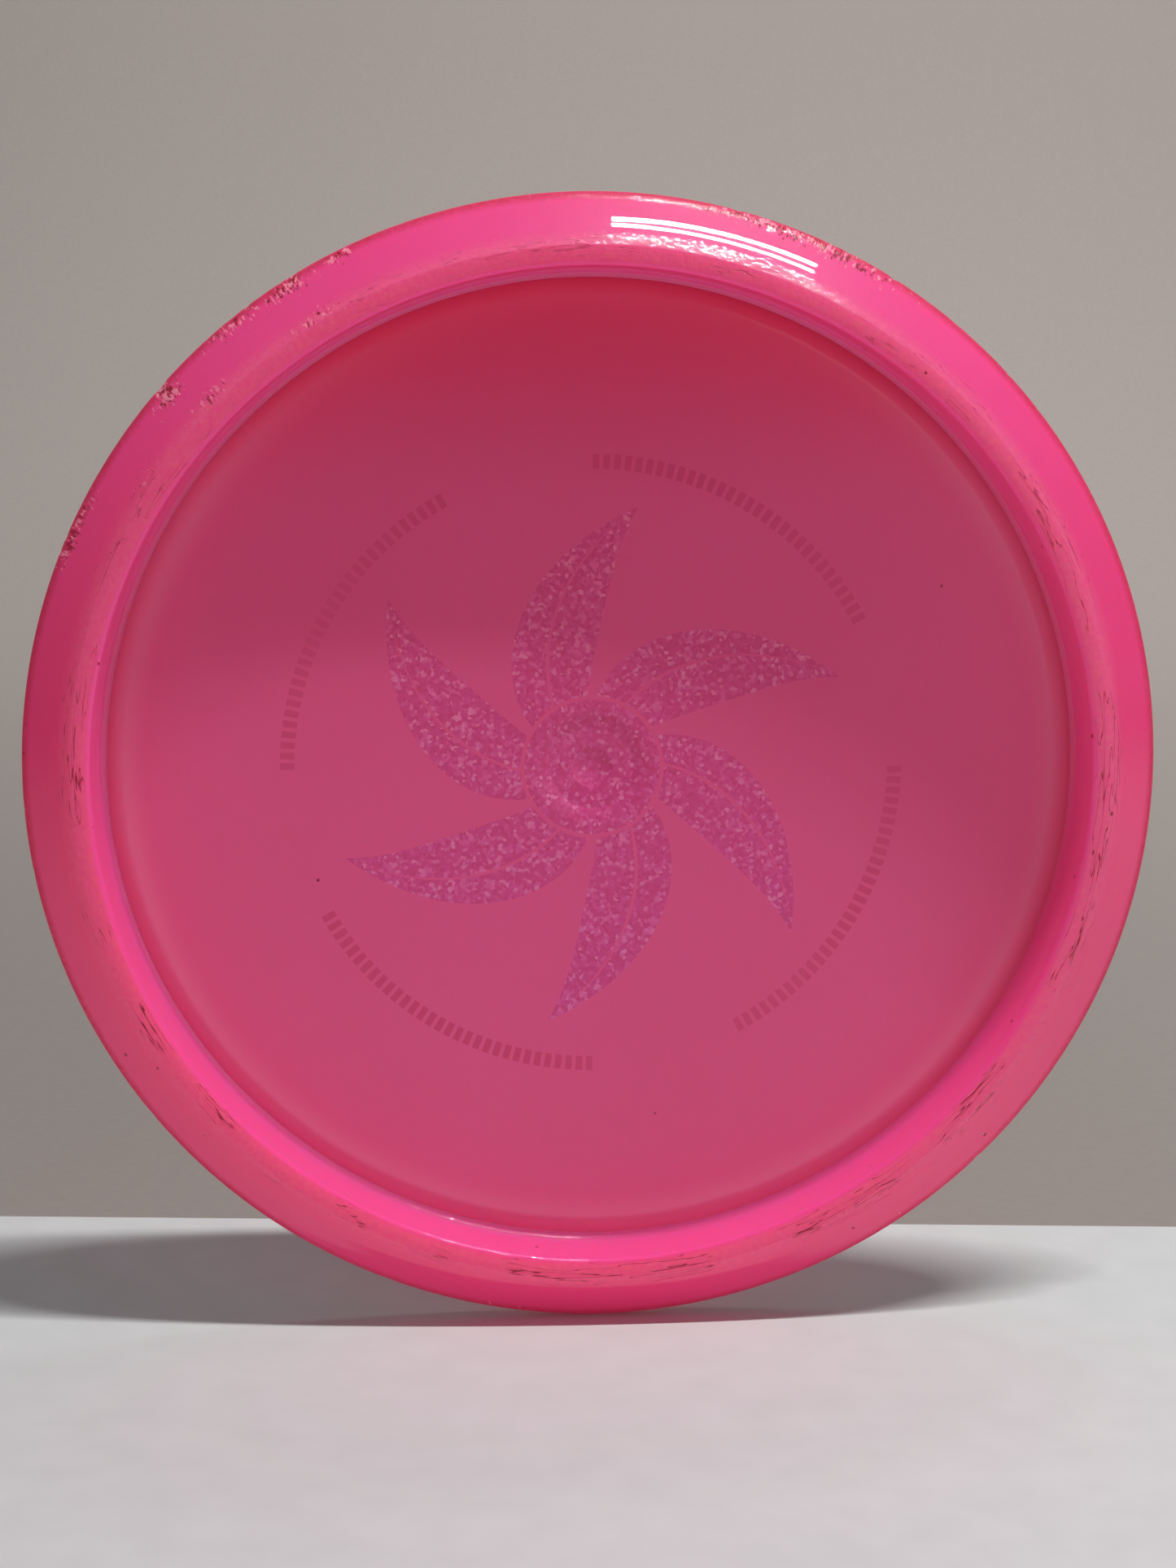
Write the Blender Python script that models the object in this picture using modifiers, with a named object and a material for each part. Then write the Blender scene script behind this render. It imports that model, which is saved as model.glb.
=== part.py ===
"""A golf-type flying disc, standing on its edge.

Metres, +Z up. The origin is the disc's centre and its spin axis lies along Y: the hollow underside,
with the grip rim, faces -Y and the stamped top faces +Y. Each piece is turned about its own Z axis
and hangs on one empty, which lays that axis along +Y.
"""

import math

import bmesh
import bpy

# Sizes across the disc, in metres.
OUTER_DIAMETER = 0.217
BAND_OUTER_DIAMETER = 0.1958
BAND_INNER_DIAMETER = 0.1906
PLATE_DIAMETER = 0.1860
GATE_STEP_DIAMETER = 0.0170
GATE_DIAMETER = 0.0076

# Heights above the plane that the rim rests on, and thicknesses.
NOSE_HEIGHT = 0.0085
RIM_DEPTH = 0.0125
PLATE_DOME = 0.0029
PLATE_THICKNESS = 0.0024
GATE_STEP_DEPTH = 0.00015
GATE_DEPTH = 0.00035

# Roundings and slopes of the rim's section.
NOSE_ROUND = 0.0022
NOSE_UPPER_ANGLE = 60
NOSE_LOWER_ANGLE = 45
RIDGE_ROUND = 0.0008
RIDGE_SLOPE = 42
BEAD_ROUND = 0.0008
FILLET_ROUND = 0.0009

# The stamp: a thin film on the top, a pinwheel inside a broken ring.
FILM_THICKNESS = 0.0001
BLADES = 6
HUB_RADIUS = 0.0140
TIP_RADIUS = 0.0520
BLADE_WIDTH = 0.0180
BLADE_SWEEP = 40
ARCS = 4
ARC_INNER_RADIUS = 0.0576
ARC_OUTER_RADIUS = 0.0604
ARC_SPAN = 62

# Clearance between neighbouring pieces, and how finely round things are cut.
GAP = 0.0003
SEGMENTS = 96
FILM_SEGMENTS = 48
MERGE = 0.00001

MOULDED_HEIGHT = RIM_DEPTH + PLATE_DOME + PLATE_THICKNESS
OVERALL_HEIGHT = MOULDED_HEIGHT + GAP + FILM_THICKNESS


def clear_scene():
    for obj in list(bpy.data.objects):
        bpy.data.objects.remove(obj, do_unlink=True)


def collection(name):
    made = bpy.data.collections.new(name)
    bpy.context.scene.collection.children.link(made)
    return made


def plastic(name, colour, roughness, metallic=0.0):
    material = bpy.data.materials.new(name)
    material.use_nodes = True
    shader = material.node_tree.nodes["Principled BSDF"]
    shader.inputs["Base Color"].default_value = (*colour, 1)
    shader.inputs["Roughness"].default_value = roughness
    shader.inputs["Metallic"].default_value = metallic
    return material


def arc(centre, radius, start, end, steps):
    """Points (radius, height) along an arc. Angles in degrees, 0 pointing outwards and 90 up."""
    points = []
    for i in range(steps + 1):
        angle = math.radians(start + (end - start) * i / steps)
        points.append((centre[0] + radius * math.cos(angle), centre[1] + radius * math.sin(angle)))
    return points


def bezier(a, b, c, d, steps):
    """Points strictly between the ends of a cubic curve from a to d."""
    points = []
    for i in range(1, steps):
        t = i / steps
        weights = ((1 - t) ** 3, 3 * t * (1 - t) ** 2, 3 * t * t * (1 - t), t ** 3)
        points.append(tuple(sum(w * p[k] for w, p in zip(weights, (a, b, c, d))) for k in (0, 1)))
    return points


def step_from(point, slope, distance):
    """The point at this distance from another, along a slope in degrees."""
    angle = math.radians(slope)
    return (point[0] + distance * math.cos(angle), point[1] + distance * math.sin(angle))


def domed_height(radius, edge_height):
    """Height of a dome that rises from edge_height at the plate's edge by PLATE_DOME at the centre."""
    share = radius / (PLATE_DIAMETER / 2)
    return edge_height + PLATE_DOME * (1 - share * share)


def rim_section():
    """The rim's closed section: down the outside from the shoulder, then up the inner wall."""
    shoulder = (PLATE_DIAMETER / 2 + GAP, RIM_DEPTH + PLATE_THICKNESS)
    nose_centre = (OUTER_DIAMETER / 2 - NOSE_ROUND, NOSE_HEIGHT)
    nose = arc(nose_centre, NOSE_ROUND, NOSE_UPPER_ANGLE, -NOSE_LOWER_ANGLE, 7)
    ridge_centre = (BAND_OUTER_DIAMETER / 2, RIDGE_ROUND)
    ridge = arc(ridge_centre, RIDGE_ROUND, RIDGE_SLOPE - 90, -90, 3)
    bead_centre = (BAND_INNER_DIAMETER / 2, BEAD_ROUND)
    bead = arc(bead_centre, BEAD_ROUND, -90, -180, 3)
    fillet = arc((shoulder[0], RIM_DEPTH - FILLET_ROUND), FILLET_ROUND, 0, 90, 3)
    top = bezier(
        shoulder,
        step_from(shoulder, -2, 0.0062),
        step_from(nose[0], 90 + NOSE_UPPER_ANGLE, 0.0045),
        nose[0],
        7,
    )
    wing = bezier(
        nose[-1],
        step_from(nose[-1], 270 - NOSE_LOWER_ANGLE, 0.0032),
        step_from(ridge[0], RIDGE_SLOPE, 0.0032),
        ridge[0],
        7,
    )
    return [shoulder, *top, *nose, *wing, *ridge, *bead, *fillet]


def plate_section():
    """Half of the flight plate's section, from the top's centre round to the underside's."""
    edge, rings = PLATE_DIAMETER / 2, 8
    gate, gate_step = GATE_DIAMETER / 2, GATE_STEP_DIAMETER / 2
    top = [(edge * i / rings, RIM_DEPTH + PLATE_THICKNESS) for i in range(rings + 1)]
    under = [(gate_step + (edge - gate_step) * i / rings, RIM_DEPTH) for i in range(rings, -1, -1)]
    points = [(r, domed_height(r, height)) for r, height in top + under]
    for radius, depth in ((gate_step, GATE_STEP_DEPTH), (gate, GATE_STEP_DEPTH), (gate, GATE_DEPTH)):
        points.append((radius, domed_height(radius, RIM_DEPTH) + depth))
    points.append((0.0, domed_height(0.0, RIM_DEPTH) + GATE_DEPTH))
    return points


def film_line(inner, outer, rings, above):
    """Points of a line that follows the domed top from one radius to another, lifted by above."""
    edge_height = RIM_DEPTH + PLATE_THICKNESS + above
    radii = [inner + (outer - inner) * i / rings for i in range(rings + 1)]
    return [(r, domed_height(r, edge_height)) for r in radii]


def pinwheel_outline():
    """Plan points of the pinwheel, counter-clockwise: each blade's two edges and a bit of the hub."""
    steps, points = 9, []

    def blade_point(start, t, on_leading_edge):
        radius = HUB_RADIUS + (TIP_RADIUS - HUB_RADIUS) * t
        width = BLADE_WIDTH * math.sin(math.pi * (0.25 + 0.75 * t))
        angle = start + math.radians(BLADE_SWEEP) * t
        angle += (0.5 if on_leading_edge else -0.5) * width / radius
        return (radius * math.cos(angle), radius * math.sin(angle))

    for blade in range(BLADES):
        start = blade * 2 * math.pi / BLADES
        points += [blade_point(start, i / steps, False) for i in range(steps + 1)]
        points += [blade_point(start, 1 - i / steps, True) for i in range(1, steps + 1)]
    return points


def turned(name, section, closed, segments, angle=360):
    """An object whose section (radius, height above the rest plane) is turned about its Z axis."""
    mesh = bpy.data.meshes.new(name)
    count = len(section)
    edges = [(i, (i + 1) % count) for i in range(count if closed else count - 1)]
    rest_plane = -OVERALL_HEIGHT / 2
    mesh.from_pydata([(r, 0, rest_plane + h) for r, h in section], edges, [])
    obj = bpy.data.objects.new(name, mesh)
    screw = obj.modifiers.new("turn", "SCREW")
    screw.axis = "Z"
    screw.angle = math.radians(angle)
    screw.steps = screw.render_steps = segments
    screw.use_smooth_shade = True
    screw.use_merge_vertices = True
    screw.merge_threshold = MERGE
    return obj


def outline_cutter(name, outline, height):
    """A hidden prism of this plan outline, tall enough to cut through the film."""
    curve = bpy.data.curves.new(name, "CURVE")
    curve.dimensions = "2D"
    curve.fill_mode = "BOTH"
    curve.extrude = height / 2
    spline = curve.splines.new("POLY")
    spline.points.add(len(outline) - 1)
    for point, (x, y) in zip(spline.points, outline):
        point.co = (x, y, 0, 1)
    spline.use_cyclic_u = True
    drawn = bpy.data.objects.new(name + "_outline", curve)
    bpy.context.scene.collection.objects.link(drawn)
    graph = bpy.context.evaluated_depsgraph_get()
    mesh = bpy.data.meshes.new_from_object(drawn.evaluated_get(graph))
    bpy.data.objects.remove(drawn, do_unlink=True)
    shape = bmesh.new()
    shape.from_mesh(mesh)
    bmesh.ops.remove_doubles(shape, verts=shape.verts, dist=MERGE)
    bmesh.ops.recalc_face_normals(shape, faces=shape.faces)
    shape.to_mesh(mesh)
    shape.free()
    cutter = bpy.data.objects.new(name, mesh)
    cutter.hide_render = True
    cutter.display_type = "WIRE"
    return cutter


def place(obj, axis, where, material=None):
    where.objects.link(obj)
    obj.parent = axis
    if material:
        obj.data.materials.append(material)
    return obj


def build_pinwheel(axis, parts, cutters, film):
    """The film's middle: a thin domed blank, cut to the pinwheel's outline."""
    under = film_line(0, TIP_RADIUS + GAP, 5, GAP)
    over = film_line(0, TIP_RADIUS + GAP, 5, GAP + FILM_THICKNESS)
    pinwheel = turned("stamp_pinwheel", [*over, *reversed(under)], False, FILM_SEGMENTS)
    place(pinwheel, axis, parts, film)
    cutter = outline_cutter("pinwheel_cutter", pinwheel_outline(), OVERALL_HEIGHT)
    cutter.location.z = OVERALL_HEIGHT / 2
    place(cutter, axis, cutters)
    cut = pinwheel.modifiers.new("outline", "BOOLEAN")
    cut.operation = "INTERSECT"
    cut.object = cutter


def build_arcs(axis, parts, film):
    """The broken ring round the pinwheel: equal arcs of film, each a thin shell."""
    line = film_line(ARC_INNER_RADIUS, ARC_OUTER_RADIUS, 1, GAP)
    for number in range(ARCS):
        strip = turned(f"stamp_arc_{number + 1}", line, False, 16, ARC_SPAN)
        strip.rotation_euler.z = 2 * math.pi * number / ARCS
        shell = strip.modifiers.new("thickness", "SOLIDIFY")
        shell.thickness = FILM_THICKNESS
        shell.offset = 1
        place(strip, axis, parts, film)


def build():
    clear_scene()
    parts = collection("flying_disc")
    cutters = collection("cutters")
    axis = bpy.data.objects.new("spin_axis", None)
    axis.rotation_euler.x = -math.pi / 2
    parts.objects.link(axis)
    rim_plastic = plastic("rim_plastic", (0.85, 0.08, 0.30), 0.22)
    plate_plastic = plastic("plate_plastic", (0.60, 0.07, 0.19), 0.30)
    film = plastic("stamp_film", (0.55, 0.20, 0.50), 0.30, metallic=0.9)
    place(turned("rim", rim_section(), True, SEGMENTS), axis, parts, rim_plastic)
    place(turned("flight_plate", plate_section(), False, SEGMENTS), axis, parts, plate_plastic)
    build_pinwheel(axis, parts, cutters, film)
    build_arcs(axis, parts, film)


build()
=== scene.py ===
"""The looks of a golf-type flying disc, standing on its edge with its hollow underside forward.

Metres. Y is the disc's spin axis: the underside faces -Y and the stamped top faces +Y.
"""

import math
import random

import bmesh
import bpy
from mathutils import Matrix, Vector


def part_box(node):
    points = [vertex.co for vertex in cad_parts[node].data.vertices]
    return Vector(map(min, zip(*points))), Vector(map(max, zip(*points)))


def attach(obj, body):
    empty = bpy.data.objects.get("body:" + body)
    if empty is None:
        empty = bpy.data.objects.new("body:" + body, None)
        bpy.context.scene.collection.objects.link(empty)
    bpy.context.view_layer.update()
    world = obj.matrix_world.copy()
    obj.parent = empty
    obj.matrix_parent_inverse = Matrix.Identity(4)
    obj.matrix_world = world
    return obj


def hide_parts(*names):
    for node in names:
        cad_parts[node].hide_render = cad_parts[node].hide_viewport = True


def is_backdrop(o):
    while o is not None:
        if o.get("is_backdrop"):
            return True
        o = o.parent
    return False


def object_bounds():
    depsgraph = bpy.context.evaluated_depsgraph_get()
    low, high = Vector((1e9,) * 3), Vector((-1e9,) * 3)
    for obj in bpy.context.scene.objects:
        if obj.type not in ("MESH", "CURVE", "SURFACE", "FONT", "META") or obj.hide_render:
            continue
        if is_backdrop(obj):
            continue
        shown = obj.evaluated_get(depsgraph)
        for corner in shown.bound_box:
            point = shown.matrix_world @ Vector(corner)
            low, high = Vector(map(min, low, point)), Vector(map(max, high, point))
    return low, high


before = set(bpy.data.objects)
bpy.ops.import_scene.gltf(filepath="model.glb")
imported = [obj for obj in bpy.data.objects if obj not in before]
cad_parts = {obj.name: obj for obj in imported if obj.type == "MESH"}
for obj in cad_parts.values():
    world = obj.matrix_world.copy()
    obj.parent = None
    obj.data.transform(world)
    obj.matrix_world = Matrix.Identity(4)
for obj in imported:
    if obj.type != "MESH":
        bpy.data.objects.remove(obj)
cad_low, cad_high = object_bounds()


# --- Rim -------------------------------------------------------------------------------------
# The broad blunt grip of the disc, moulded in one shot with the flight plate from a clear pink
# urethane. Its section is turned once round the disc: shoulder, nose, a wing that wavers a
# little, the band that it rests on, and the inner wall that the fingers pull on.

rim_low, rim_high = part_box("rim")
outer_radius = rim_high.x
rest_y = rim_low.y
plate_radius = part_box("flight_plate")[1].x
seam_radius = plate_radius + 0.0003
rim_depth = 0.0125
nose_centre = (outer_radius - 0.0022, 0.0085)
nose_round = 0.0022
band_crown = 0.0001
ridge_centre = (0.0979, 0.0008 + band_crown)
bead_centre = (0.0953, 0.0008 + band_crown)
edge_round = 0.0008
fillet_round = bead_centre[0] - edge_round - seam_radius
rim_steps = 960


def arc(centre, radius, start, end, steps):
    """Points (radius, height) round an arc, in degrees: 0 is outwards and 90 is to the top side."""
    points = []
    for i in range(steps + 1):
        angle = math.radians(start + (end - start) * i / steps)
        points.append((centre[0] + radius * math.cos(angle), centre[1] + radius * math.sin(angle)))
    return points


def bezier(a, b, c, d, steps):
    """Points strictly between the ends of a cubic curve."""
    points = []
    for i in range(1, steps):
        t = i / steps
        weights = ((1 - t) ** 3, 3 * t * (1 - t) ** 2, 3 * t * t * (1 - t), t ** 3)
        points.append(tuple(sum(w * p[k] for w, p in zip(weights, (a, b, c, d))) for k in (0, 1)))
    return points


def step_from(point, slope, distance):
    """The point at this distance from another, along a slope in degrees."""
    angle = math.radians(slope)
    return (point[0] + distance * math.cos(angle), point[1] + distance * math.sin(angle))


def turn(name, section, closed, steps):
    """A mesh object: a section of (radius, height above the rest plane) turned round the Y axis."""
    mesh = bmesh.new()
    on_axis = {k: mesh.verts.new((0, rest_y + h, 0)) for k, (r, h) in enumerate(section) if r == 0}
    rings = []
    for step in range(steps):
        angle = math.tau * step / steps
        ring = []
        for k, (radius, height) in enumerate(section):
            place = (radius * math.cos(angle), rest_y + height, radius * math.sin(angle))
            ring.append(on_axis.get(k) or mesh.verts.new(place))
        rings.append(ring)
    pairs = [(k, k + 1) for k in range(len(section) - 1)]
    if closed:
        pairs.append((len(section) - 1, 0))
    for one, two in zip(rings, rings[1:] + rings[:1]):
        for k, m in pairs:
            mesh.faces.new(dict.fromkeys((one[k], one[m], two[m], two[k])))
    bmesh.ops.recalc_face_normals(mesh, faces=mesh.faces)
    data = bpy.data.meshes.new(name)
    mesh.to_mesh(data)
    mesh.free()
    data.shade_smooth()
    piece = bpy.data.objects.new(name, data)
    bpy.context.scene.collection.objects.link(piece)
    return piece


def wavy(start, end, turns, steps):
    """Points strictly between two ends, on a line whose slope wavers about the straight one.

    turns holds (share of the way, degrees steeper than straight), eased from one to the next.
    """
    along = math.dist(start, end) / steps
    straight = math.atan2(end[1] - start[1], end[0] - start[0])
    points = [start]
    for i in range(steps):
        share = (i + 0.5) / steps
        for (a, one), (b, two) in zip(turns, turns[1:]):
            if a <= share <= b:
                ease = (1 - math.cos(math.pi * (share - a) / (b - a))) / 2
                slope = straight + math.radians(one + (two - one) * ease)
        points.append(step_from(points[-1], math.degrees(slope), along))
    miss = [end[k] - points[-1][k] for k in (0, 1)]
    return [
        tuple(point[k] + miss[k] * i / steps for k in (0, 1)) for i, point in enumerate(points)
    ][1:-1]


shoulder = (seam_radius, rim_high.y - rest_y)
nose = arc(nose_centre, nose_round, 60, -53, 19)
ridge = arc(ridge_centre, edge_round, -56, -84, 5)
bead = arc(bead_centre, edge_round, -96, -180, 7)
fillet = arc((seam_radius, rim_depth - fillet_round), fillet_round, 0, 90, 8)
top_side = bezier(
    shoulder, step_from(shoulder, -2, 0.0062), step_from(nose[0], 150, 0.0045), nose[0], 18
)
wing_slopes = ((0, 2.2), (0.12, 0), (0.28, -1.2), (0.57, 1.6), (0.78, -1.0), (1, -0.9))
wing = wavy(nose[-1], ridge[0], wing_slopes, 40)
band = [(0.0974, 0.00003), (0.0966, 0.0), (0.0958, 0.00003)]
rim_section = [shoulder, *top_side, *nose, *wing, *ridge, *band, *bead, *fillet]
rim = turn("disc_rim", rim_section, True, rim_steps)

# Knocks from trees and baskets, as (degrees round the rim, degrees round the nose, depth,
# width): short dents pushed into the nose, thickest on three stretches of it.
knock_count = 54
dent_length = 0.0007
dent_breadth = 28
dented_strip = 0.003
fully_torn_depth = 0.0004
dice = random.Random(7)
knocks = []
for i in range(knock_count):
    middle, spread, hardest = (
        (130, 14, 0.0005), (64, 7, 0.0004), (152, 6, 0.0005), (20, 60, 0.0002), (240, 60, 0.0002)
    )[i % 5]
    deep = 0.00008 + hardest * dice.random() ** 3
    knocks.append((dice.gauss(middle, spread), dice.uniform(-60, 40), deep, dice.uniform(0.4, 1.2)))
knocks.append((138, -30, 0.0009, 1.5))
knocks.append((121, -35, 0.0005, 1.2))

# Scuffed places, as (degrees round the rim, distance from the axis, length, breadth, strength).
scuffs = [
    (64, 0.1070, 0.016, 0.0022, 1.0),
    (75, 0.1074, 0.014, 0.0014, 1.0),
    (94, 0.1076, 0.010, 0.0014, 0.45),
    (116, 0.1074, 0.0040, 0.0014, 1.2),
    (121, 0.0990, 0.0060, 0.0016, 1.1),
    (122, 0.1068, 0.0060, 0.0020, 1.3),
    (129, 0.1070, 0.0070, 0.0016, 1.1),
    (135, 0.0998, 0.0060, 0.0020, 1.1),
    (138, 0.1060, 0.0040, 0.0020, 1.5),
    (146, 0.1000, 0.0050, 0.0014, 0.9),
    (152, 0.1072, 0.0060, 0.0014, 1.1),
    (157, 0.1070, 0.0050, 0.0014, 1.1),
    (318, 0.0988, 0.0120, 0.0012, 0.7),
    (300, 0.0990, 0.0080, 0.0010, 0.6),
    (262, 0.1075, 0.0140, 0.0012, 0.6),
]

worn = rim.data.attributes.new("worn", "FLOAT", "POINT")
for vertex, wear in zip(rim.data.vertices, worn.data):
    radius = math.hypot(vertex.co.x, vertex.co.z)
    height = vertex.co.y - rest_y
    if height > nose_centre[1] + nose_round:
        continue
    around = math.atan2(vertex.co.z, vertex.co.x)
    for middle, out, length, breadth, strength in scuffs:
        along = math.remainder(around - math.radians(middle), math.tau) * radius / length
        across = (radius - out) / breadth
        if abs(along) < 3 and abs(across) < 3:
            wear.value += strength * math.exp(-along * along - across * across)
    if radius < outer_radius - dented_strip:
        continue
    round_nose = math.degrees(math.atan2(height - nose_centre[1], radius - nose_centre[0]))
    push = 0.0
    for middle, side, deep, wide in knocks:
        along = math.remainder(around - math.radians(middle), math.tau) * radius
        along /= dent_length * wide
        if abs(along) < 3:
            across = (round_nose - side) / dent_breadth
            push += deep * math.exp(-along * along - across * across)
    vertex.co.x *= 1 - push / radius
    vertex.co.z *= 1 - push / radius
    wear.value += push / fully_torn_depth

rim_plastic = bpy.data.materials.new("rim_plastic")
rim_plastic.use_nodes = True
nodes = rim_plastic.node_tree.nodes
links = rim_plastic.node_tree.links
nodes.clear()

place_frame = nodes.new("NodeFrame")
place_frame.label = "Where on the rim"
place = nodes.new("ShaderNodeTexCoord")
place.label = "Place on the disc"
place.location = (-2200, 300)
parts = nodes.new("ShaderNodeSeparateXYZ")
parts.label = "Across, deep, up"
parts.location = (-2000, 300)
flat = nodes.new("ShaderNodeCombineXYZ")
flat.label = "Place in the disc's plane"
flat.location = (-1800, 300)
radius_here = nodes.new("ShaderNodeVectorMath")
radius_here.label = "Distance from the spin axis"
radius_here.operation = "LENGTH"
radius_here.location = (-1600, 380)
direction = nodes.new("ShaderNodeVectorMath")
direction.label = "Direction from the axis"
direction.operation = "NORMALIZE"
direction.location = (-1600, 200)
height_here = nodes.new("ShaderNodeMath")
height_here.label = "Height above the rest plane"
height_here.operation = "SUBTRACT"
height_here.inputs[1].default_value = rest_y
height_here.location = (-1600, 40)
for node in (place, parts, flat, radius_here, direction, height_here):
    node.parent = place_frame
links.new(place.outputs["Object"], parts.inputs[0])
links.new(parts.outputs["X"], flat.inputs["X"])
links.new(parts.outputs["Z"], flat.inputs["Z"])
links.new(flat.outputs[0], radius_here.inputs[0])
links.new(flat.outputs[0], direction.inputs[0])
links.new(parts.outputs["Y"], height_here.inputs[0])

zone_frame = nodes.new("NodeFrame")
zone_frame.label = "Worn zones"
band_zone = nodes.new("ShaderNodeMapRange")
band_zone.label = "The band that it rests on"
band_zone.interpolation_type = "SMOOTHSTEP"
band_zone.inputs["From Min"].default_value = 0.0024
band_zone.inputs["From Max"].default_value = 0.0
band_zone.location = (-1300, 100)
bead_zone = nodes.new("ShaderNodeMapRange")
bead_zone.label = "Not on the inner wall"
bead_zone.interpolation_type = "SMOOTHSTEP"
bead_zone.inputs["From Min"].default_value = 0.0946
bead_zone.inputs["From Max"].default_value = 0.0960
bead_zone.location = (-1300, -60)
rubbed = nodes.new("ShaderNodeMath")
rubbed.label = "Rubbed band"
rubbed.operation = "MULTIPLY"
rubbed.location = (-1120, 60)
nose_zone = nodes.new("ShaderNodeMapRange")
nose_zone.label = "The nose's edge"
nose_zone.interpolation_type = "SMOOTHSTEP"
nose_zone.inputs["From Min"].default_value = outer_radius - 0.0022
nose_zone.inputs["From Max"].default_value = outer_radius - 0.0002
nose_zone.location = (-1300, 380)
scuff_zone = nodes.new("ShaderNodeAttribute")
scuff_zone.label = "Scuffed places and knocks"
scuff_zone.attribute_name = "worn"
scuff_zone.location = (-1300, 620)
for node in (band_zone, bead_zone, rubbed, nose_zone, scuff_zone):
    node.parent = zone_frame
links.new(height_here.outputs[0], band_zone.inputs["Value"])
links.new(radius_here.outputs["Value"], bead_zone.inputs["Value"])
links.new(band_zone.outputs["Result"], rubbed.inputs[0])
links.new(bead_zone.outputs["Result"], rubbed.inputs[1])
links.new(radius_here.outputs["Value"], nose_zone.inputs["Value"])

crack_frame = nodes.new("NodeFrame")
crack_frame.label = "Dirty scratches that run round the band"
round_scale = nodes.new("ShaderNodeVectorMath")
round_scale.label = "Scratch length"
round_scale.operation = "SCALE"
round_scale.inputs["Scale"].default_value = 6
round_scale.location = (-1300, -200)
across_scale = nodes.new("ShaderNodeMath")
across_scale.label = "Scratch spacing"
across_scale.operation = "MULTIPLY"
across_scale.inputs[1].default_value = 800
across_scale.location = (-1300, -380)
up_scale = nodes.new("ShaderNodeMath")
up_scale.label = "Scratch spacing up the walls"
up_scale.operation = "MULTIPLY"
up_scale.inputs[1].default_value = 800
up_scale.location = (-1300, -560)
across_offset = nodes.new("ShaderNodeCombineXYZ")
across_offset.label = "Spacing as a step in Y"
across_offset.location = (-1100, -380)
scratch_place = nodes.new("ShaderNodeVectorMath")
scratch_place.label = "Stretched place"
scratch_place.operation = "ADD"
scratch_place.location = (-900, -260)
scratch_field = nodes.new("ShaderNodeTexNoise")
scratch_field.label = "Wandering field"
scratch_field.noise_dimensions = "4D"
scratch_field.inputs["Scale"].default_value = 1.0
scratch_field.inputs["Detail"].default_value = 2
scratch_field.inputs["Roughness"].default_value = 0.45
scratch_field.location = (-700, -200)
scratch_lines = nodes.new("ShaderNodeMath")
scratch_lines.label = "Lines where it crosses its middle"
scratch_lines.operation = "PINGPONG"
scratch_lines.inputs[1].default_value = 0.5
scratch_lines.location = (-500, -200)
scratch_cut = nodes.new("ShaderNodeMapRange")
scratch_cut.label = "Thin lines"
scratch_cut.inputs["From Min"].default_value = 0.486
scratch_cut.inputs["From Max"].default_value = 0.495
scratch_cut.location = (-320, -200)
patches = nodes.new("ShaderNodeTexNoise")
patches.label = "Stretches that were dragged"
patches.inputs["Scale"].default_value = 70
patches.inputs["Detail"].default_value = 3
patches.location = (-700, -480)
patch_zone = nodes.new("ShaderNodeMapRange")
patch_zone.label = "Only some stretches"
patch_zone.inputs["From Min"].default_value = 0.46
patch_zone.inputs["From Max"].default_value = 0.52
patch_zone.location = (-500, -480)
low_side = nodes.new("ShaderNodeMapRange")
low_side.label = "Most of them on one side"
low_side.inputs["From Min"].default_value = 0.09
low_side.inputs["From Max"].default_value = -0.02
low_side.inputs["To Min"].default_value = 0.45
low_side.location = (-500, -740)
patches_there = nodes.new("ShaderNodeMath")
patches_there.label = "Stretches on that side"
patches_there.operation = "MULTIPLY"
patches_there.location = (-320, -560)
lines_there = nodes.new("ShaderNodeMath")
lines_there.label = "Lines in those stretches"
lines_there.operation = "MULTIPLY"
lines_there.location = (-140, -300)
band_scratches = nodes.new("ShaderNodeMath")
band_scratches.label = "Lines on the band"
band_scratches.operation = "MULTIPLY"
band_scratches.location = (40, -300)
for node in (round_scale, across_scale, up_scale, across_offset, scratch_place, scratch_field,
             scratch_lines, scratch_cut, patches, patch_zone, low_side, patches_there,
             lines_there, band_scratches):
    node.parent = crack_frame
links.new(direction.outputs[0], round_scale.inputs[0])
links.new(radius_here.outputs["Value"], across_scale.inputs[0])
links.new(across_scale.outputs[0], across_offset.inputs["Y"])
links.new(round_scale.outputs[0], scratch_place.inputs[0])
links.new(across_offset.outputs[0], scratch_place.inputs[1])
links.new(scratch_place.outputs[0], scratch_field.inputs["Vector"])
links.new(height_here.outputs[0], up_scale.inputs[0])
links.new(up_scale.outputs[0], scratch_field.inputs["W"])
links.new(scratch_field.outputs["Fac"], scratch_lines.inputs[0])
links.new(scratch_lines.outputs[0], scratch_cut.inputs["Value"])
links.new(place.outputs["Object"], patches.inputs["Vector"])
links.new(patches.outputs["Fac"], patch_zone.inputs["Value"])
links.new(parts.outputs["Z"], low_side.inputs["Value"])
links.new(patch_zone.outputs["Result"], patches_there.inputs[0])
links.new(low_side.outputs["Result"], patches_there.inputs[1])
links.new(scratch_cut.outputs["Result"], lines_there.inputs[0])
links.new(patches_there.outputs[0], lines_there.inputs[1])
links.new(lines_there.outputs[0], band_scratches.inputs[0])
links.new(rubbed.outputs[0], band_scratches.inputs[1])

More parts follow.
